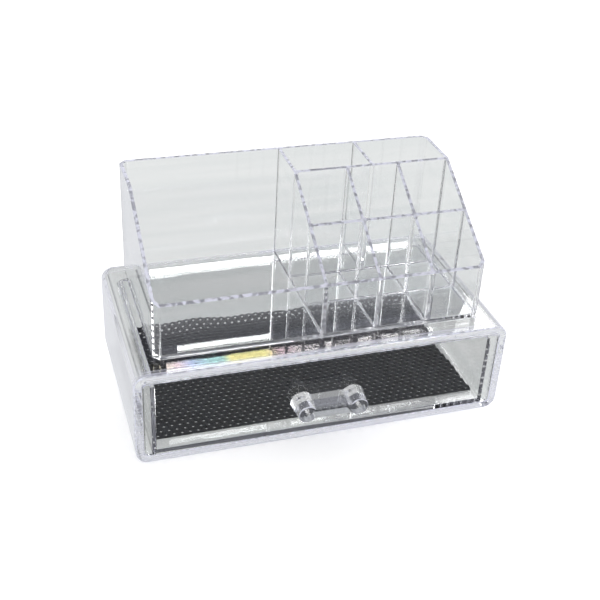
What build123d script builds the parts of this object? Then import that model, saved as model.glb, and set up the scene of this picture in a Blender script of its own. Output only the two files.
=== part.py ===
"""Clear brush holder: a nine-cell tray that stands on a casing with one drawer.

Millimetres, +Z up, front towards -Y. The origin is the middle of the casing's underside.
"""

import os
from math import atan, degrees, sqrt

from build123d import *

# ---------------------------------------------------------------- casing
casing_width = 240.0
casing_depth = 128.0
casing_height = 64.5
casing_wall = 5.0  # sides, top and bottom
casing_back_wall = 4.0
casing_edge_radius = 8.0  # the four long edges, seen from the front
casing_rim_radius = 0.8  # softened edge round the front, the back and the opening

# ---------------------------------------------------------------- drawer
drawer_run_gap = 0.4  # under the drawer, to the casing's floor
front_side_gap = 0.5  # beside the drawer front, to the casing's opening
front_top_gap = 0.6  # over the drawer front
front_thickness = 3.0
front_corner_radius = 2.5
front_edge_radius = 0.4  # softened edge round the drawer front
tub_side_step = 4.5  # from the drawer front's edge in to the tub's side
tub_top_step = 3.4  # from the drawer front's top down to the tub's rim
tub_back_gap = 3.0  # behind the closed tub, to the casing's back wall
tub_wall = 2.7
tub_floor = 2.5
tub_corner_radius = 4.0
tub_rim_radius = 0.6  # softened edge round the tub's rim

# ---------------------------------------------------------------- handle
handle_pitch = 33.3  # between the two posts
handle_length = 14.0
handle_rise = 24.0  # from the drawer front's lower edge to the posts' middle
post_root_radius = 7.2
post_tip_radius = 5.8
post_edge_radius = 0.7
bar_tip_height = 6.2
handle_glue_gap = 0.1  # between the handle's back and the drawer front
pin_radius = 1.5
pin_clearance = 0.05  # round each pin in its hole in the drawer front

# ---------------------------------------------------------------- mesh mat
mat_thickness = 1.2
mat_front_margin = 9.0  # from the drawer front's inner face
mat_back_margin = 0.5
mat_left_margin = 0.5
mat_right_margin = 2.5
mesh_pitch = 10.0  # between holes in one row
mesh_row_pitch = 7.0  # between rows, each half a pitch along from the last
mesh_hole_radius = 2.5
mesh_border = 2.0  # uncut strip round the mesh

# ---------------------------------------------------------------- tray
tray_width = 211.0
tray_depth = 109.0
tray_back_height = 80.0
tray_front_height = 37.6
tray_knee_depth = 71.8  # from the tray's front to where the sides reach full height
tray_setback = 13.3  # from the casing's front to the tray's front
tray_wall = 2.2
tray_floor = 2.5
tray_corner_cut = 4.0  # the slanted facet on each upright corner
tray_facet_radius = 1.0  # on both upright edges of each facet
tray_rim_radius = 0.5  # softened edge round every rim
tray_foot_radius = 1.2  # softened edge round the underside
tray_seat_gap = 0.3  # between the tray and the casing it stands on
divider_wall = 2.0
middle_wall_depth = 37.3  # from the tray's front to the middle of the lower cross wall
cell_corner_radius = 1.2
cell_foot_radius = 0.8  # inside the cells, where their walls meet the floor
front_columns = 3
rear_columns = 2

# ---------------------------------------------------------------- places
front_y = -casing_depth / 2
back_y = casing_depth / 2
front_plane = Plane.XZ.offset(-front_y)

opening_width = casing_width - 2 * casing_wall
opening_height = casing_height - 2 * casing_wall
opening_radius = casing_edge_radius - casing_wall

drawer_z = casing_wall + drawer_run_gap
front_width = opening_width - 2 * front_side_gap
front_height = opening_height - drawer_run_gap - front_top_gap
tub_width = front_width - 2 * tub_side_step
tub_height = front_height - tub_top_step
tub_back_y = back_y - casing_back_wall - tub_back_gap
front_inner_y = front_y + front_thickness
floor_z = drawer_z + tub_floor

handle_z = drawer_z + handle_rise
handle_back_y = front_y - handle_glue_gap
handle_taper = degrees(atan((post_root_radius - post_tip_radius) / handle_length))

tray_z = casing_height + tray_seat_gap
tray_front_y = front_y + tray_setback
tray_back_y = tray_front_y + tray_depth
tray_mid_y = (tray_front_y + tray_back_y) / 2
knee_y = tray_front_y + tray_knee_depth
middle_y = tray_front_y + middle_wall_depth
cell_right_x = tray_width / 2 - tray_wall
cell_corner_cut = tray_corner_cut - (2 - sqrt(2)) * tray_wall  # the wall is as thick at a facet

os.makedirs("parts", exist_ok=True)


# ---------------------------------------------------------------- casing
# One moulding, open at the front, with rounded long edges.
with BuildPart() as casing:
    with BuildSketch(front_plane):
        with Locations((0, casing_height / 2)):
            RectangleRounded(casing_width, casing_height, casing_edge_radius)
    extrude(amount=-casing_depth)
    fillet(casing.faces().sort_by(Axis.Y)[0].edges(), casing_rim_radius)
    fillet(casing.faces().sort_by(Axis.Y)[-1].edges(), casing_rim_radius)
    with BuildSketch(front_plane):
        with Locations((0, casing_height / 2)):
            RectangleRounded(opening_width, opening_height, opening_radius)
    extrude(amount=casing_back_wall - casing_depth, mode=Mode.SUBTRACT)
    fillet(casing.faces().sort_by(Axis.Y)[0].inner_wires().edges(), casing_rim_radius)
casing.part.label = "casing"
export_step(casing.part, "parts/casing.step")


# ---------------------------------------------------------------- drawer
# One moulding: a tub behind a wider front, with two holes for the handle's pins.
tub_middle = (0, (front_inner_y + tub_back_y) / 2)
tub_length = tub_back_y - front_inner_y
with BuildPart() as drawer:
    with BuildSketch(front_plane):
        with Locations((0, drawer_z + front_height / 2)):
            RectangleRounded(front_width, front_height, front_corner_radius)
    extrude(amount=-front_thickness)
    with BuildSketch(Plane.XY.offset(drawer_z)) as tub_outline:
        with Locations(tub_middle):
            Rectangle(tub_width, tub_length)
        fillet(tub_outline.vertices().group_by(Axis.Y)[-1], tub_corner_radius)
    extrude(amount=tub_height)
    with BuildSketch(Plane.XY.offset(floor_z)) as tub_hollow:
        with Locations((0, tub_middle[1] - tub_wall / 2)):
            Rectangle(tub_width - 2 * tub_wall, tub_length - tub_wall)
        fillet(tub_hollow.vertices().group_by(Axis.Y)[-1], tub_corner_radius - tub_wall)
    extrude(amount=tub_height, mode=Mode.SUBTRACT)
    rim_z = drawer_z + tub_height
    rim = drawer.faces().filter_by(Axis.Z).filter_by(lambda f: abs(f.center().Z - rim_z) < 0.01)
    fillet(rim.edges().filter_by(lambda e: e.center().Y > front_inner_y + 0.01), tub_rim_radius)
    fillet(drawer.faces().sort_by(Axis.Y)[0].edges(), front_edge_radius)
    with BuildSketch(front_plane):
        with Locations((-handle_pitch / 2, handle_z), (handle_pitch / 2, handle_z)):
            Circle(pin_radius + pin_clearance)
    extrude(amount=-front_thickness, mode=Mode.SUBTRACT)
drawer.part.label = "drawer"
export_step(drawer.part, "parts/drawer.step")


# ---------------------------------------------------------------- handle
# Two tapered posts with a bar between them, on two pins that pass through the drawer front.
with BuildPart() as drawer_handle:
    with BuildSketch(Plane.XZ.offset(-handle_back_y)):
        with Locations((-handle_pitch / 2, handle_z), (handle_pitch / 2, handle_z)):
            Circle(post_root_radius)
    extrude(amount=handle_length, taper=handle_taper)
    fillet(drawer_handle.faces().group_by(Axis.Y)[0].edges(), post_edge_radius)
    bar_root_height = bar_tip_height + 2 * (post_root_radius - post_tip_radius)
    with BuildSketch(Plane.YZ):
        with BuildLine():
            Polyline(
                (handle_back_y, handle_z - bar_root_height / 2),
                (handle_back_y, handle_z + bar_root_height / 2),
                (handle_back_y - handle_length, handle_z + bar_tip_height / 2),
                (handle_back_y - handle_length, handle_z - bar_tip_height / 2),
                close=True,
            )
        make_face()
    extrude(amount=handle_pitch / 2, both=True)
    with BuildSketch(Plane.XZ.offset(-handle_back_y)):
        with Locations((-handle_pitch / 2, handle_z), (handle_pitch / 2, handle_z)):
            Circle(pin_radius)
    extrude(amount=-front_thickness - handle_glue_gap)
drawer_handle.part.label = "drawer_handle"
export_step(drawer_handle.part, "parts/drawer_handle.step")


# ---------------------------------------------------------------- mesh mat
# A loose mesh liner on the drawer's floor, with staggered rows of holes.
mat_left = -tub_width / 2 + tub_wall + mat_left_margin
mat_right = tub_width / 2 - tub_wall - mat_right_margin
mat_front = front_inner_y + mat_front_margin
mat_back = tub_back_y - tub_wall - mat_back_margin
mat_centre = ((mat_left + mat_right) / 2, (mat_front + mat_back) / 2)
mesh_width = mat_right - mat_left - 2 * mesh_border - 2 * mesh_hole_radius
mesh_length = mat_back - mat_front - 2 * mesh_border - 2 * mesh_hole_radius
mesh_columns = int(mesh_width / mesh_pitch + 0.5)
mesh_row_pairs = int((mesh_length / mesh_row_pitch + 1) / 2)
stagger = (mesh_pitch / 4, mesh_row_pitch / 2)
with BuildPart() as drawer_mat:
    with BuildSketch(Plane.XY.offset(floor_z)):
        with Locations(mat_centre):
            Rectangle(mat_right - mat_left, mat_back - mat_front)
        for side in (-1, 1):
            row_middle = (mat_centre[0] + side * stagger[0], mat_centre[1] + side * stagger[1])
            with Locations(row_middle):
                with GridLocations(mesh_pitch, 2 * mesh_row_pitch, mesh_columns, mesh_row_pairs):
                    Circle(mesh_hole_radius, mode=Mode.SUBTRACT)
    extrude(amount=mat_thickness)
drawer_mat.part.label = "drawer_mat"
export_step(drawer_mat.part, "parts/drawer_mat.step")
print("mesh holes:", 2 * mesh_columns * mesh_row_pairs)


# ---------------------------------------------------------------- tray
# One moulding with nine cells: a wide one on the left, and three rows on the right.


def cell_row(left, right, near, far, count):
    """Centre and size of each of count equal cells between two walls, with dividers between."""
    width = (right - left - (count - 1) * divider_wall) / count
    middle = (near + far) / 2
    places = [(left + width / 2 + i * (width + divider_wall), middle) for i in range(count)]
    return [(place, width, far - near) for place in places]


half = divider_wall / 2
cell_front_y = tray_front_y + tray_wall
cell_back_y = tray_back_y - tray_wall
cells = [
    *cell_row(-cell_right_x, -half, cell_front_y, cell_back_y, 1),
    *cell_row(half, cell_right_x, cell_front_y, middle_y - half, front_columns),
    *cell_row(half, cell_right_x, middle_y + half, knee_y - half, front_columns),
    *cell_row(half, cell_right_x, knee_y + half, cell_back_y, rear_columns),
]
with BuildPart() as top_tray:
    with BuildSketch(Plane.XY.offset(tray_z)) as tray_outline:
        with Locations((0, tray_mid_y)):
            Rectangle(tray_width, tray_depth)
        chamfer(tray_outline.vertices(), tray_corner_cut)
        fillet(tray_outline.vertices(), tray_facet_radius)
    extrude(amount=tray_back_height)
    fillet(top_tray.faces().sort_by(Axis.Z)[0].edges(), tray_foot_radius)
    with BuildSketch(Plane.XY.offset(tray_z + tray_floor)) as hollows:
        for place, width, depth in cells:
            with Locations(place):
                Rectangle(width, depth)
        outer_x = cell_right_x - half
        outer_y = tray_depth / 2 - tray_wall - half
        ends = hollows.vertices().filter_by(lambda v: abs(v.X) > outer_x)
        corners = ends.filter_by(lambda v: abs(v.Y - tray_mid_y) > outer_y)
        chamfer(corners, cell_corner_cut)
        fillet(hollows.vertices(), cell_corner_radius)
    extrude(amount=tray_back_height, mode=Mode.SUBTRACT)
    cell_floor_z = tray_z + tray_floor
    floors = top_tray.faces().filter_by(lambda f: abs(f.center().Z - cell_floor_z) < 0.01)
    fillet(floors.edges(), cell_foot_radius)
    # The sloped cut over the front part, from the front wall's top up to the knee.
    with BuildSketch(Plane.YZ):
        with BuildLine():
            Polyline(
                (tray_front_y - tray_wall, tray_z + 2 * tray_back_height),
                (tray_front_y - tray_wall, tray_z + tray_front_height),
                (tray_front_y, tray_z + tray_front_height),
                (knee_y, tray_z + tray_back_height),
                (knee_y, tray_z + 2 * tray_back_height),
                close=True,
            )
        make_face()
    extrude(amount=tray_width, both=True, mode=Mode.SUBTRACT)
    # The rims are the edges of the flat top and of the slope, less the knee line where these meet.
    front_top_z = tray_z + tray_front_height
    tops = top_tray.faces().filter_by(lambda f: f.normal_at().Z > 0.3 and f.center().Z > front_top_z)
    knee = tops.edges().filter_by(Axis.X).filter_by(lambda e: abs(e.center().Y - knee_y) < 0.01)
    fillet([e for e in tops.edges() if e not in knee], tray_rim_radius)
top_tray.part.label = "top_tray"
export_step(top_tray.part, "parts/top_tray.step")
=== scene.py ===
# %% [markdown]
# # A clear brush holder with a drawer, dressed in Blender
#
# The real object is five pieces: three large mouldings in clear polystyrene, a small clear handle
# and a loose black mesh liner. The shapes of the clear pieces come from the CAD frame. What makes
# them look real is light: how much each wall lets through, what its edges gather, and what stands
# around it.

# %% Load the frame
from math import cos, pi, radians, sin

import bpy
import numpy as np
from mathutils import Matrix, Vector


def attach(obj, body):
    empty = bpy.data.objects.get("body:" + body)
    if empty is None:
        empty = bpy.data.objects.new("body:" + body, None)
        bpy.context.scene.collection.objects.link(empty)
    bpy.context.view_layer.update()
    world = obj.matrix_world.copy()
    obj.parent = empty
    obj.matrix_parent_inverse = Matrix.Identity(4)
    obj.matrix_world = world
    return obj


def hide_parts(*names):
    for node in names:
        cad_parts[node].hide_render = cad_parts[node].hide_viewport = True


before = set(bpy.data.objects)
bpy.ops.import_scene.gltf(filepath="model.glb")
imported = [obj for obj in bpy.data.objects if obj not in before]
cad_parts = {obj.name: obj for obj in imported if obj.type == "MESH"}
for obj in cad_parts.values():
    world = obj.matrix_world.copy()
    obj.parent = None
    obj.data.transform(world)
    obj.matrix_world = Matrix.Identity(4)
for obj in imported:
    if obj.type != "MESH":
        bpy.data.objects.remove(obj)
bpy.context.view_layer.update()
scene = bpy.context.scene
MM = 0.001  # metres in a millimetre

# %% [markdown]
# ## Camera
#
# The photograph was taken from above and from the left, with the camera rolled a little. Its
# place is written as a point on the object, a distance and three angles, because these are what a
# photographer would set, and they are easier to read than a matrix of nine numbers.

# %% Camera
aim = Vector((38.55, 109.18, -11.92)) * MM  # the point in the middle of the picture
distance = 820 * MM
azimuth, elevation, roll = radians(-19.1), radians(32.4), radians(3.3)
focal_length, sensor_width = 62.43, 36  # millimetres

towards_camera = Vector(
    (sin(azimuth) * cos(elevation), -cos(azimuth) * cos(elevation), sin(elevation))
)
level_right = Vector((0, 0, 1)).cross(towards_camera).normalized()
level_up = towards_camera.cross(level_right)
camera_right = level_right * cos(roll) + level_up * sin(roll)
camera_up = level_up * cos(roll) - level_right * sin(roll)

camera_data = bpy.data.cameras.new("camera")
camera_data.lens = focal_length
camera_data.sensor_width = sensor_width
camera = bpy.data.objects.new("camera", camera_data)
scene.collection.objects.link(camera)
axes = Matrix((camera_right, camera_up, towards_camera)).transposed()
camera.matrix_world = Matrix.Translation(aim + towards_camera * distance) @ axes.to_4x4()
scene.camera = camera
print("camera at", [round(v, 3) for v in camera.matrix_world.translation], "m")

# %% [markdown]
# ## Colours and nodes
#
# A material is a small graph of nodes. One function adds a node and links it, and one turns the
# hex colours that people write into the linear numbers that light is added up in.


# %% Colours and nodes
def linear(hex_colour):
    """Linear RGBA of an sRGB hex colour such as '#8899aa', by the two-part sRGB curve."""
    srgb = np.array([int(hex_colour[i : i + 2], 16) / 255 for i in (1, 3, 5)])
    rgb = np.where(srgb <= 0.04045, srgb / 12.92, ((srgb + 0.055) / 1.055) ** 2.4)
    return (*rgb.tolist(), 1.0)


def add_node(tree, kind, inputs=None, **settings):
    """A new node, with its settings, and its inputs set or linked by name or number."""
    node = tree.nodes.new(kind)
    for name, value in settings.items():
        setattr(node, name, value)
    for name, value in (inputs or {}).items():
        if isinstance(value, bpy.types.NodeSocket):
            tree.links.new(value, node.inputs[name])
        else:
            node.inputs[name].default_value = value
    return node


def new_material(name):
    """An empty node material: the material, its tree and its output node."""
    material = bpy.data.materials.new(name)
    material.use_nodes = True
    material.node_tree.nodes.clear()
    return material, material.node_tree, material.node_tree.nodes.new("ShaderNodeOutputMaterial")


WHITE = (1, 1, 1, 1)
print("a mid grey, #808080, is", round(linear("#808080")[0], 3), "in linear light")

# %% [markdown]
# ## Masks with soft edges
#
# Most effects here belong to one place only, such as a rim or a strip of the floor. A mask is a
# number that is 1 there and 0 elsewhere, and its edges are smooth so that no hard line shows. A
# mask can lie within another, which is their product.


# %% Masks with soft edges
def soft_mask(tree, value, rise=None, fall=None, within=1.0):
    """A mask that goes up to 1 over one span of values, down to 0 over another, or both."""
    mask = within
    for span, start, end in ((rise, 0.0, 1.0), (fall, 1.0, 0.0)):
        if span:
            edge = add_node(
                tree,
                "ShaderNodeMapRange",
                {
                    "Value": value,
                    "From Min": span[0],
                    "From Max": span[1],
                    "To Min": start,
                    "To Max": end,
                },
                interpolation_type="SMOOTHSTEP",
            )
            product = add_node(
                tree, "ShaderNodeMath", {0: edge.outputs[0], 1: mask}, operation="MULTIPLY"
            )
            mask = product.outputs[0]
    return mask


def rim_mask(tree, place, axis, low, high, bottom):
    """1 on a moulding's rims, which show in how the surface is turned.

    There the normal's part along an axis (0, 1 or 2), without its sign, lies between two numbers.
    Only what is above the height bottom, in metres, counts.
    """
    blend, rise = 0.05, 0.5 * MM
    normal = add_node(tree, "ShaderNodeNewGeometry").outputs["Normal"]
    along = add_node(tree, "ShaderNodeSeparateXYZ", {0: normal}).outputs[axis]
    along = add_node(tree, "ShaderNodeMath", {0: along}, operation="ABSOLUTE").outputs[0]
    turned = soft_mask(tree, along, (low, low + blend), (high - blend, high))
    height = add_node(tree, "ShaderNodeSeparateXYZ", {0: place}).outputs[2]
    return soft_mask(tree, height, (bottom, bottom + rise), within=turned)


print("masks ready: soft_mask, rim_mask")

# %% [markdown]
# ## Colours of strain
#
# A moulding cools with strain locked into it, and strained plastic splits a reflection into
# interference colours. They are a likely reading of the yellow, cyan and pink streak in the
# photograph, and they tell the eye that the box is moulded plastic. The colours follow each other
# across the casing, and only the front of its top has them.

# %% Colours of strain
casing_half_width = 120  # millimetres, as are the stops and the strip's edges
strain_stops = (
    (-104, "#fff6c8"), (-92, "#ffd9e8"), (-84, "#a9c4ff"), (-73, "#7fd8dc"), (-65, "#5fc9c4"),
    (-60, "#fff02a"), (-38, "#ffee20"), (-30, "#ffc6d8"), (-16, "#ffeef2"), (20, "#fdf8dc"),
    (45, "#f4f6dc"), (70, "#f6ecf6"), (100, "#ffffff"),
)
strip_front, strip_back, strip_bottom = (-60.5, -59.5), (-50, -49), (58, 59)


def strain_colours(tree, place):
    """White, and over the front of the casing's top the stops' colours, blended into each other."""
    x, y, z = add_node(tree, "ShaderNodeSeparateXYZ", {0: place}).outputs
    across = add_node(
        tree,
        "ShaderNodeMapRange",
        {"Value": x, "From Min": -casing_half_width * MM, "From Max": casing_half_width * MM},
    )
    ramp = add_node(tree, "ShaderNodeValToRGB", {"Fac": across.outputs[0]})
    elements = ramp.color_ramp.elements
    elements.remove(elements[1])
    for number, (at, colour) in enumerate(strain_stops):
        stop = elements[0] if number == 0 else elements.new(0.5)
        stop.position = (at + casing_half_width) / (2 * casing_half_width)
        stop.color = linear(colour)
    in_metres = [[edge * MM for edge in span] for span in (strip_front, strip_back, strip_bottom)]
    strip = soft_mask(tree, y, rise=in_metres[0], fall=in_metres[1])
    strip = soft_mask(tree, z, rise=in_metres[2], within=strip)
    return add_node(
        tree, "ShaderNodeMix", {0: strip, 6: WHITE, 7: ramp.outputs[0]}, data_type="RGBA"
    ).outputs[2]


coloured = strain_stops[-1][0] - strain_stops[0][0]
print(len(strain_stops), "colours over", coloured, "mm of the casing")

# %% [markdown]
# ## Clear polystyrene
#
# Clear polystyrene bends light more than window glass does: its index of refraction is 1.59. So a
# wall seen on edge traps light and turns into a bright or a dark line, and that is most of what
# the eye sees of such a box. The rest is small faults of moulding. The melt leaves faint flow
# streaks as it runs along a wall. The cooling pulls the walls a few hundredths of a millimetre
# out of flat, which bends a reflection. The rims, where the halves of the mould meet, are a
# little uneven and hazed. Their pale colour is part haze and part a painted highlight, which
# stands in for the light that the rounded rims catch, so they show white against anything dark.

# %% The faults' sizes, in millimetres, chosen from the photograph
flow_streak, flow_stretch = 33.33, (0.25, 1, 4)  # drawn out along x and pressed flat in z
wall_wave, wave_depth = 45.45, 0.02
rim_fault, rim_fault_depth = 3.846, 0.4  # as coarse as the render needs to show it
# On the casing's front lip the haze is painted light: fine bright lines in the haze's colour that
# stand in for light trapped in its thick wall.
lip_line, lip_stretch = 2.0, (0.02, 1, 1)  # long lines along the casing's front lip
lip_start, lip_end = -59.5, -57.5  # the lip's haze fades out between these depths
POLYSTYRENE_IOR = 1.59
rim_blur = 0.1  # roughness
# The haze's colour is part real haze and part a painted highlight on the rims, and painted light on
# the casing's front lip.
haze_and_highlight_colour, glow_share = "#e6e7f4", 0.4  # 40 % of the haze glows through, the rest is on top
print("rim faults", rim_fault, "mm apart, walls wavy over", wall_wave, "mm")


# %% Clear polystyrene
def lip_painted_light(tree, place):
    """The share of painted light on the casing's front lip, in fine lines across the casing."""
    depth = add_node(tree, "ShaderNodeSeparateXYZ", {0: place}).outputs[1]
    lip = soft_mask(tree, depth, fall=(lip_start * MM, lip_end * MM))
    drawn = add_node(tree, "ShaderNodeMapping", {"Vector": place, "Scale": lip_stretch})
    lines = add_node(
        tree,
        "ShaderNodeTexNoise",
        {"Vector": drawn.outputs[0], "Scale": 1 / (lip_line * MM), "Detail": 1.0},
    )
    share = add_node(
        tree,
        "ShaderNodeMapRange",
        {
            "Value": lines.outputs["Fac"],
            "From Min": 0.38,
            "From Max": 0.62,
            "To Min": 0.12,
            "To Max": 0.42,
        },
        interpolation_type="SMOOTHSTEP",
    )
    return add_node(
        tree, "ShaderNodeMath", {0: lip, 1: share.outputs[0]}, operation="MULTIPLY"
    ).outputs[0]


def moulded_surface(tree, place, rim, faults):
    """The clear plastic with its streaks, waves and uneven rims, and the rims' unevenness."""
    drawn = add_node(tree, "ShaderNodeMapping", {"Vector": place, "Scale": flow_stretch})
    streaks = add_node(
        tree,
        "ShaderNodeTexNoise",
        {"Vector": drawn.outputs[0], "Scale": 1 / (flow_streak * MM), "Detail": 3.0},
    )
    streak = soft_mask(tree, streaks.outputs["Fac"], rise=(0.35, 0.65))
    tint = add_node(
        tree, "ShaderNodeMix", {0: streak, 6: linear("#fafbfb"), 7: WHITE}, data_type="RGBA"
    )
    waves = add_node(tree, "ShaderNodeTexNoise", {"Vector": place, "Scale": 1 / (wall_wave * MM)})
    wavy = add_node(
        tree,
        "ShaderNodeBump",
        {"Height": waves.outputs["Fac"], "Strength": 1.0, "Distance": wave_depth * MM},
    )
    uneven = add_node(tree, "ShaderNodeTexNoise", {"Vector": place, "Scale": 1 / (rim_fault * MM)})
    rough_rim = add_node(
        tree,
        "ShaderNodeBump",
        {
            "Height": uneven.outputs["Fac"],
            "Strength": rim,
            "Distance": rim_fault_depth * MM * faults,
            "Normal": wavy.outputs[0],
        },
    )
    rim_roughness = add_node(
        tree, "ShaderNodeMath", {0: rim, 1: rim_blur * faults}, operation="MULTIPLY"
    )
    plastic = add_node(
        tree,
        "ShaderNodeBsdfPrincipled",
        {
            "Base Color": tint.outputs[2],
            "Roughness": rim_roughness.outputs[0],
            "IOR": POLYSTYRENE_IOR,
            "Transmission Weight": 1.0,
            "Normal": rough_rim.outputs[0],
        },
    )
    return plastic, uneven.outputs["Fac"]


def clear_polystyrene(name, rim, haze_and_highlight_shares=(0.35, 0.9), faults=1.0, strained=False):
    """Injection-moulded clear polystyrene, its rims given as rim_mask's last four values.

    The rims' haze, with its painted highlight, goes from its first to its second share with the
    rim's unevenness. A moulding that is strained also has the strain's colours and painted light
    on its front lip.
    """
    material, tree, output = new_material(name)
    place = add_node(tree, "ShaderNodeTexCoord").outputs["Object"]
    on_rim = rim_mask(tree, place, *rim)
    plastic, uneven = moulded_surface(tree, place, on_rim, faults)
    cloudy = add_node(
        tree,
        "ShaderNodeMapRange",
        {
            "Value": uneven,
            "From Min": 0.36,
            "From Max": 0.6,
            "To Min": haze_and_highlight_shares[0],
            "To Max": haze_and_highlight_shares[1],
        },
        interpolation_type="SMOOTHSTEP",
    )
    share = add_node(
        tree, "ShaderNodeMath", {0: on_rim, 1: cloudy.outputs[0]}, operation="MULTIPLY"
    ).outputs[0]
    # A strained moulding also gets painted light on its front lip.
    if strained:
        tree.links.new(strain_colours(tree, place), plastic.inputs["Specular Tint"])
        share = add_node(
            tree, "ShaderNodeMath", {0: share, 1: lip_painted_light(tree, place)}, operation="MAXIMUM"
        ).outputs[0]
    # Haze on the rims, part real and part a painted highlight, and painted light on a strained
    # moulding's front lip.
    veil = add_node(tree, "ShaderNodeBsdfDiffuse", {"Color": linear(haze_and_highlight_colour)})
    glow = add_node(tree, "ShaderNodeBsdfTranslucent", {"Color": linear(haze_and_highlight_colour)})
    haze_and_highlight = add_node(
        tree, "ShaderNodeMixShader", {0: glow_share, 1: veil.outputs[0], 2: glow.outputs[0]}
    )
    surface = add_node(
        tree, "ShaderNodeMixShader", {0: share, 1: plastic.outputs[0], 2: haze_and_highlight.outputs[0]}
    )
    # A clear box casts only a pale shadow, so lamps shine straight through it.
    shadow_ray = add_node(tree, "ShaderNodeLightPath").outputs["Is Shadow Ray"]
    let_through = add_node(tree, "ShaderNodeBsdfTransparent", {"Color": linear("#f0f0f2")})
    lit = add_node(
        tree,
        "ShaderNodeMixShader",
        {0: shadow_ray, 1: surface.outputs[0], 2: let_through.outputs[0]},
    )
    tree.links.new(lit.outputs[0], output.inputs["Surface"])
    return material


print("clear polystyrene ready, index of refraction", POLYSTYRENE_IOR)

# %% [markdown]
# ## The four clear mouldings
#
# The CAD frame holds the four mouldings with their real wall thicknesses and softened rims, so
# their meshes stay as they are and only their materials change. They differ in where their rims
# are: the casing's and the handle's face the front and the back, and the drawer's and the tray's
# face up. The handle is so small that the full haze and painted highlight on its rims would make
# it look frosted.

# %% The four clear mouldings
FRONT, UP = 1, 2  # axes
anywhere = -1.0  # below everything
drawer_rims_from, tray_rims_from = 50 * MM, 68.5 * MM  # heights


def dress(node, material):
    """Gives every material slot of a CAD node's object that material; its mesh isn't touched."""
    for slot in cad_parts[node].material_slots:
        slot.material = material
    print(node, "is now", material.name)


dress(
    "casing",
    clear_polystyrene("clear_polystyrene_casing", (FRONT, 0.08, 0.99, anywhere), strained=True),
)
dress("drawer", clear_polystyrene("clear_polystyrene_drawer", (UP, 0.08, 0.99, drawer_rims_from)))
dress(
    "drawer_handle",
    clear_polystyrene(
        "clear_polystyrene_handle", (FRONT, 0.15, 0.985, anywhere), haze_and_highlight_shares=(0.3, 0.7), faults=0.3
    ),
)
dress("top_tray", clear_polystyrene("clear_polystyrene_tray", (UP, 0.08, 1.2, tray_rims_from)))

# %% [markdown]
# ## The mesh liner's cells
#
# The liner is a black plastic net, cut with scissors from a roll: staggered rows of small holes
# between strands about as wide as the holes. It is laid out flat first, as cells like bricks,
# each with its hole.

# %% The net, flat, in millimetres
pitch, row_pitch = 5.1, 3.6  # between holes along a row, and from row to row
columns, rows = 42, 31
hole_half_width, hole_half_depth = 0.95, 0.88
strand_thickness, rim_thickness = 1.5, 0.95  # between the holes, and round each hole


def net_cells():
    """Flat points (u, v, thickness) and quads of a net, in millimetres.

    The cells are laid like bricks, each row half a cell along from the last. A cell is a ring of
    eight quads: outer point k lies on the brick's outline and inner point k on the ellipse
    (half_width * cos(45k), half_depth * sin(45k)). Where a row is shifted, the scissors cut its
    first and last cells in half, and the half holes are open notches.
    """
    outline = np.array([(1, 0), (1, 1), (0, 1), (-1, 1), (-1, 0), (-1, -1), (0, -1), (1, -1)])
    turn = np.arange(8) * pi / 4
    ellipse = np.column_stack((hole_half_width * np.cos(turn), hole_half_depth * np.sin(turn)))
    spans = {
        "whole": np.arange(9) % 8,
        "left_cut": np.arange(6, 11) % 8,
        "right_cut": np.arange(2, 7),
    }
    row, column = np.meshgrid(np.arange(rows), np.arange(columns + 1), indexing="ij")
    shifted = row % 2 == 1
    u = (column + np.where(shifted, 0.0, 0.5)) * pitch
    v = (row + 0.5) * row_pitch
    kinds = {
        "whole": np.where(shifted, (column > 0) & (column < columns), column < columns),
        "left_cut": shifted & (column == 0),
        "right_cut": shifted & (column == columns),
    }
    points, quads = [], []
    for kind, span in spans.items():
        middle = np.column_stack((u[kinds[kind]], v[kinds[kind]]))
        outer = middle[:, None] + outline[span] * (pitch / 2, row_pitch / 2)
        inner = middle[:, None] + ellipse[span]
        thick = np.full((*outer.shape[:2], 1), strand_thickness)
        thin = np.full((*inner.shape[:2], 1), rim_thickness)
        block = np.concatenate(
            (np.concatenate((outer, thick), 2), np.concatenate((inner, thin), 2)), 1
        )
        count = len(span)
        k = np.arange(count - 1)
        ring = np.column_stack((k, k + 1, count + k + 1, count + k))
        start = sum(len(part) for part in points) + np.arange(len(middle)) * 2 * count
        points.append(block.reshape(-1, 3))
        quads.append((start[:, None, None] + ring).reshape(-1, 4))
    points, quads = np.concatenate(points), np.concatenate(quads)
    keys = np.round(points[:, :2] * 1000).astype(np.int64)  # points within a micrometre are one
    _, first, back = np.unique(keys, axis=0, return_index=True, return_inverse=True)
    return points[first], back.reshape(-1)[quads]


flat, quads = net_cells()
liner_width, liner_length = columns * pitch, rows * row_pitch
print("net:", len(flat), "points,", len(quads), "quads")
print("flat size:", round(liner_width, 1), "x", round(liner_length, 1), "mm")

# %% [markdown]
# ## The liner laid in the drawer
#
# It lies loose, a little bumpy and not quite straight, and its back edge is a few millimetres too
# long, so it stands up against the drawer's back wall. The scissors left short teeth along its
# edges.

# %% The liner's middle surface, in millimetres
drawer_floor, drawer_back_wall = 7.9, 54.3
liner_left, liner_front = -107.0, -52.0
curl_radius = 3.0
lie = 0.5 * strand_thickness + 0.1  # the middle surface over the floor it lies on
side_tooth, back_tooth = 0.8, 1.1  # how deep the scissors cut into the edges
at_edge = 0.1  # a point this near to the sheet's edge is on it
bump_height, bump_fade = 0.45, 12
narrowing, narrowing_reach = 0.016, 45  # of the width, and over how much of the depth


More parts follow.
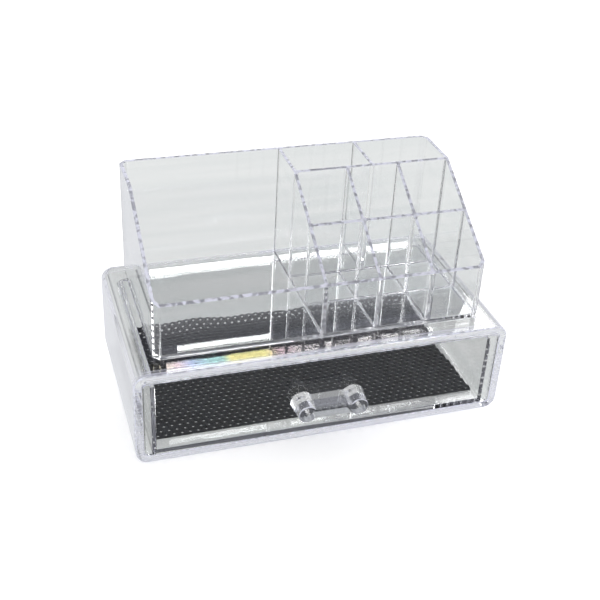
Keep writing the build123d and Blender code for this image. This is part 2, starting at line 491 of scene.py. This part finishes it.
def laid(u, v):
    """The liner's middle surface and its normals, for distances u across and v back along it.

    The profile runs straight back, turns up on a quarter circle and goes straight up the wall:
    y, z = v, 0, then centre + radius * (sin, 1 - cos)(angle), then straight. Over that lie low
    bumps, a product of sines, which fade out at the front edge. A tooth is half of 1 + cos, once
    in two rows at the sides and once in a pitch at the back. Slow sines stretch the sheet by up
    to 1.6 %.
    """
    on_right = np.where(u > liner_width - at_edge, 1.0, 0.0)
    on_left = np.where(u < at_edge, 1.0, 0.0)
    u = u - (on_right - on_left) * side_tooth * (1 + np.cos(v * pi / row_pitch)) / 2
    on_back = np.where(v > liner_length - at_edge, back_tooth, 0.0)
    v = v - on_back * (1 + np.cos(2 * u * pi / pitch)) / 2
    v = v * (1 + 0.010 * np.sin(u / 23) + 0.006 * np.sin(u / 7.3 + 1))
    straight = drawer_back_wall - lie - curl_radius - liner_front
    angle = np.clip((v - straight) / curl_radius, 0, pi / 2)
    rise = np.clip(v - straight - curl_radius * pi / 2, 0, None)
    y = np.minimum(v, straight) + curl_radius * np.sin(angle)
    z = curl_radius * (1 - np.cos(angle)) + rise
    bumps = np.sin(u / 17 + v / 31) * np.sin(v / 13 + u / 45) + 0.5 * np.sin(u / 9 - v / 21)
    z = z + bump_height * (bumps + 1.5) * np.clip(v / bump_fade, 0, 1) * np.cos(angle)
    x = u * (1 - narrowing * np.clip(v / narrowing_reach, 0, 1) - 0.002 * np.sin(v / 6))
    middle = np.column_stack((x + liner_left, y + liner_front, z + drawer_floor + lie))
    normals = np.column_stack((np.zeros_like(u), -np.sin(angle), np.cos(angle)))
    return middle, normals


unevenness = 0.09  # of the strands, as a standard deviation
draw = np.random.default_rng(7)
jitter = draw.normal(0, unevenness, (len(flat), 2)) * (flat[:, 2:] == strand_thickness)
inside = (flat[:, 0] > at_edge) & (flat[:, 0] < liner_width - at_edge)
uv = flat[:, :2] + jitter * inside[:, None]
middle, normals = laid(uv[:, 0], uv[:, 1])
print("the liner reaches from", middle.min(0).round(1), "to", middle.max(0).round(1), "mm")

# %% [markdown]
# ## From a surface to a solid piece
#
# A net that is only a surface looks like paper. Each point is moved half the thickness both ways
# along its normal, thicker at the strands than round the holes, so that light rounds the strands.
# A piece is made from whole arrays of numbers, which is far quicker than adding its points one by
# one.


# %% Both faces and the walls between them
def closed_slab(points, normals, half_thickness, quads):
    """Both faces of a thin sheet, and walls along every edge that only one quad has.

    A face is the middle surface moved half the thickness along its normal, one way for the top
    and the other way for the bottom, whose quads are turned round.
    """
    count = len(points)
    offset = normals * half_thickness[:, None]
    edges = np.stack((quads, np.roll(quads, -1, axis=1)), 2).reshape(-1, 2)
    _, index, shared = np.unique(np.sort(edges, 1), axis=0, return_index=True, return_counts=True)
    rim = edges[index[shared == 1]]
    walls = np.column_stack((rim[:, 0], rim[:, 0] + count, rim[:, 1] + count, rim[:, 1]))
    return (
        np.concatenate((points + offset, points - offset)),
        np.concatenate((quads, quads[:, ::-1] + count, walls)),
    )


def new_piece(name, points, faces, material, body):
    """A mesh object at the origin, from points in metres and faces as rows of point numbers."""
    mesh = bpy.data.meshes.new(name)
    mesh.from_pydata(points.tolist(), [], faces.tolist())
    mesh.materials.append(material)
    mesh.polygons.foreach_set("use_smooth", np.ones(len(mesh.polygons), bool))
    mesh.update()
    piece = bpy.data.objects.new(name, mesh)
    scene.collection.objects.link(piece)
    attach(piece, body)
    return piece


points, faces = closed_slab(middle, normals, flat[:, 2] / 2, quads)
print("solid net:", len(points), "points,", len(faces), "quads")

# %% [markdown]
# ## Black polyethylene
#
# The net is extruded and dyed black. A fine grain breaks up its shine, so that no strand shows a
# hard highlight, and the dye is a little uneven, which keeps a large black area from looking
# drawn.

# %% Black polyethylene
grain_size, grain_depth = 0.625, 0.2  # millimetres; the real grain is finer and wouldn't show
dye_cloud = 16.67  # millimetres
black, tree, output = new_material("extruded_black_polyethylene_net")
place = add_node(tree, "ShaderNodeTexCoord").outputs["Object"]
grain = add_node(
    tree, "ShaderNodeTexNoise", {"Vector": place, "Scale": 1 / (grain_size * MM), "Detail": 3.0}
).outputs["Fac"]
cloud = add_node(tree, "ShaderNodeTexNoise", {"Vector": place, "Scale": 1 / (dye_cloud * MM)})
dye = add_node(
    tree,
    "ShaderNodeMix",
    {
        0: soft_mask(tree, cloud.outputs["Fac"], rise=(0.35, 0.65)),
        6: linear("#0b0d10"),
        7: linear("#15181c"),
    },
    data_type="RGBA",
)
roughness = add_node(
    tree,
    "ShaderNodeMapRange",
    {"Value": grain, "From Min": 0.3, "From Max": 0.7, "To Min": 0.45, "To Max": 0.65},
    interpolation_type="SMOOTHSTEP",
)
grained = add_node(
    tree, "ShaderNodeBump", {"Height": grain, "Strength": 0.5, "Distance": grain_depth * MM}
)
shader = add_node(
    tree,
    "ShaderNodeBsdfPrincipled",
    {
        "Base Color": dye.outputs[2],
        "Roughness": roughness.outputs[0],
        "IOR": 1.5,
        "Specular IOR Level": 0.2,
        "Normal": grained.outputs[0],
    },
)
tree.links.new(shader.outputs[0], output.inputs["Surface"])
print("black net: grain", grain_size, "mm, clouds of dye", dye_cloud, "mm")

# %% [markdown]
# ## The finished liner
#
# The piece takes the place of the plain CAD mat and rides with the drawer.

# %% The finished liner
liner = new_piece("black_mesh_liner", points * MM, faces, black, "drawer")
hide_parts("drawer_mat")

# %% [markdown]
# ## How light reaches the studio
#
# The photograph was cut out onto white, but through the clear walls the old pale grey backdrop
# still shows. So the studio answers a ray by the way it came. The camera sees white. Light that
# has passed through the plastic finds pale grey, and a mirror reflection finds a studio with a
# dark part, which gives the clear walls their dark lines. These levels were set at the
# photograph's angle, so from other angles the plastic looks less true.


# %% Kinds of ray
def ray_kinds(tree):
    """Factors, 0 or 1: seen by the camera, through the plastic, in a mirror, and by diffuse light.

    Light that was refracted counts as glossy too, so the mirror factor is glossy less transmission.
    """
    path = add_node(tree, "ShaderNodeLightPath").outputs
    mirror = add_node(
        tree,
        "ShaderNodeMath",
        {0: path["Is Glossy Ray"], 1: path["Is Transmission Ray"]},
        operation="SUBTRACT",
        use_clamp=True,
    )
    camera_ray, through_ray, diffuse_ray = [
        path[f"Is {kind} Ray"] for kind in ("Camera", "Transmission", "Diffuse")
    ]
    return camera_ray, through_ray, mirror.outputs[0], diffuse_ray


print("ray kinds: camera, through, mirror, diffuse")

# %% [markdown]
# ## Floor
#
# The floor is plain. To light that comes through or off the plastic it has a painted shadow,
# which makes it a little darker under the casing, and a strip of painted shade just in front of
# the casing. The strip is there for the look: a bright floor, mirrored in the front walls, would
# lay a grey veil over the black liner.

# %% Floor
floor_reach = 4.0  # metres
corners = ((-1, -1), (1, -1), (1, 1), (-1, 1))
floor_mesh = bpy.data.meshes.new("floor")
floor_points = [(x * floor_reach, y * floor_reach, 0) for x, y in corners]
floor_mesh.from_pydata(floor_points, [], [(0, 1, 2, 3)])
floor = bpy.data.objects.new("floor", floor_mesh)
scene.collection.objects.link(floor)

ground, tree, output = new_material("studio_floor")
camera_ray, through_ray, mirror_ray, _ = ray_kinds(tree)
reflectance = add_node(
    tree, "ShaderNodeMix", {0: camera_ray, 6: (0.74, 0.75, 0.75, 1), 7: WHITE}, data_type="RGBA"
)
place = add_node(tree, "ShaderNodeTexCoord").outputs["Object"]
x, y, _ = add_node(tree, "ShaderNodeSeparateXYZ", {0: place}).outputs

# The painted shadow under the casing and the strip of painted shade in front of it are
# rectangles round the casing, whose sides are at 0.12 and 0.064 m.
painted_shadow_under = soft_mask(tree, x, rise=(-0.121, -0.105), fall=(0.105, 0.121))
painted_shadow_under = soft_mask(tree, y, rise=(-0.066, -0.05), fall=(0.05, 0.066), within=painted_shadow_under)
# A strip of painted shade just in front of the casing.
before = soft_mask(tree, x, rise=(-0.125, -0.118), fall=(0.118, 0.125))
before = soft_mask(tree, y, rise=(-0.19, -0.15), fall=(-0.069, -0.066), within=before)

# Brightness of the floor in the open, in its painted shadow under the casing and in the strip of
# painted shade in front of it.
through_open, through_painted_shadow, through_painted_shade_strip = 1.06, 0.85, 0.38  # brightness
mirror_open, mirror_painted_shade_strip = 0.95, 0.22
levels = [
    add_node(
        tree,
        "ShaderNodeMapRange",
        {"Value": mask, "To Min": outside, "To Max": inside},
        interpolation_type="SMOOTHSTEP",
    ).outputs[0]
    for mask, outside, inside in (
        (painted_shadow_under, through_open, through_painted_shadow),
        (before, 1.0, through_painted_shade_strip),
        (before, mirror_open, mirror_painted_shade_strip),
    )
]
through_light = add_node(
    tree, "ShaderNodeMath", {0: levels[0], 1: levels[1]}, operation="MULTIPLY"
)
shader = add_node(tree, "ShaderNodeBsdfDiffuse", {"Color": reflectance.outputs[2]})
for ray, light, colour in (
    (through_ray, through_light.outputs[0], "#e1e3e3"),
    (mirror_ray, levels[2], "#e6e7ee"),
):
    glow = add_node(tree, "ShaderNodeEmission", {"Color": linear(colour), "Strength": light})
    shader = add_node(
        tree, "ShaderNodeMixShader", {0: ray, 1: shader.outputs[0], 2: glow.outputs[0]}
    )
tree.links.new(shader.outputs[0], output.inputs["Surface"])
floor_mesh.materials.append(ground)
print("floor:", 2 * floor_reach, "m square")

# %% [markdown]
# ## World
#
# The world is white to the camera and a faint lavender to the plastic, as the rims in the
# photograph are. Low down behind the object it is dark to mirrored and refracted light, so that
# the strip lamps there stand out and the walls aren't veiled.

# %% World
world_open_mirror, world_open_through, world_behind = 0.8, 0.9, 0.15  # brightness
world = bpy.data.worlds.new("studio")
scene.world = world
world.use_nodes = True
tree = world.node_tree
camera_ray, through_ray, mirror_ray, diffuse_ray = ray_kinds(tree)
direction = add_node(tree, "ShaderNodeTexCoord").outputs["Generated"]
backwards, upwards = add_node(tree, "ShaderNodeSeparateXYZ", {0: direction}).outputs[1:]
behind = soft_mask(tree, backwards, rise=(0.3, 0.7))
behind = soft_mask(tree, upwards, fall=(0.7, 0.85), within=behind)
mirror_light, through_light = [
    add_node(
        tree,
        "ShaderNodeMapRange",
        {"Value": behind, "To Min": outside, "To Max": world_behind},
        interpolation_type="SMOOTHSTEP",
    ).outputs[0]
    for outside in (world_open_mirror, world_open_through)
]
total = 0.0
for ray, strength in (
    (camera_ray, 1.0), (diffuse_ray, 0.9), (mirror_ray, mirror_light), (through_ray, through_light)
):
    total = add_node(
        tree, "ShaderNodeMath", {0: ray, 1: strength, 2: total}, operation="MULTIPLY_ADD"
    ).outputs[0]
seen_straight = add_node(tree, "ShaderNodeMath", {0: camera_ray, 1: diffuse_ray}, operation="ADD")
colour = add_node(
    tree,
    "ShaderNodeMix",
    {0: seen_straight.outputs[0], 6: linear("#e6e8f6"), 7: WHITE},
    data_type="RGBA",
)
background = tree.nodes["Background"]
tree.links.new(colour.outputs[2], background.inputs["Color"])
tree.links.new(total, background.inputs["Strength"])

# A ray through nine clear cells crosses many walls, and one that is cut off early is black.
scene.cycles.max_bounces = 48
scene.cycles.transmission_bounces = 48
scene.cycles.glossy_bounces = 24
print("world ready, up to", scene.cycles.max_bounces, "bounces")

# %% [markdown]
# ## Lamps
#
# Two softboxes give plain, even light. Four thin strip lamps behind the object are seen only in
# the plastic: each one draws one of the long white reflections that tell the eye that a wall is
# flat.


# %% Lamps
def softbox(name, place, target, size, power):
    """A rectangular area lamp in metres and watts, turned towards its target."""
    data = bpy.data.lights.new(name, "AREA")
    data.shape = "RECTANGLE"
    data.size, data.size_y = size
    data.energy = power
    lamp = bpy.data.objects.new(name, data)
    scene.collection.objects.link(lamp)
    turn = (Vector(target) - Vector(place)).to_track_quat("-Z", "Y")
    lamp.matrix_world = Matrix.Translation(place) @ turn.to_matrix().to_4x4()
    return lamp


softbox("key", (-0.6, -0.5, 1.1), (0, 0, 0.05), (0.7, 0.7), 6)
softbox("rim", (0.7, 0.6, 0.8), (0, 0, 0.05), (0.5, 0.5), 4)
strip_depth, strip_aim = 0.5, 0.065  # metres behind the object, and the height they face
strips = (  # left and right end, height and width in metres, watts per square metre and steradian
    ("back_strip", -0.015, 0.32, 0.342, 0.0056, 10),
    ("front_strip", 0.016, 0.14, 0.4547, 0.0045, 10),
    ("casing_strip", 0.002, 0.365, 0.4745, 0.010, 16),
    ("rim_strip", 0.002, 0.365, 0.4850, 0.008, 8),
)
for name, left, right, height, width, radiance in strips:
    centre, length = (left + right) / 2, right - left
    lamp = softbox(
        name,
        (centre, strip_depth, height),
        (centre, 0, strip_aim),
        (length, width),
        radiance * pi * length * width,
    )
    lamp.visible_camera = False
print("lamps: 2 softboxes and", len(strips), "strips")

# %% [markdown]
# ## Colour
#
# The Standard view shows white as white, as the cut-out photograph does.

# %% Colour management
scene.view_settings.view_transform = "Standard"
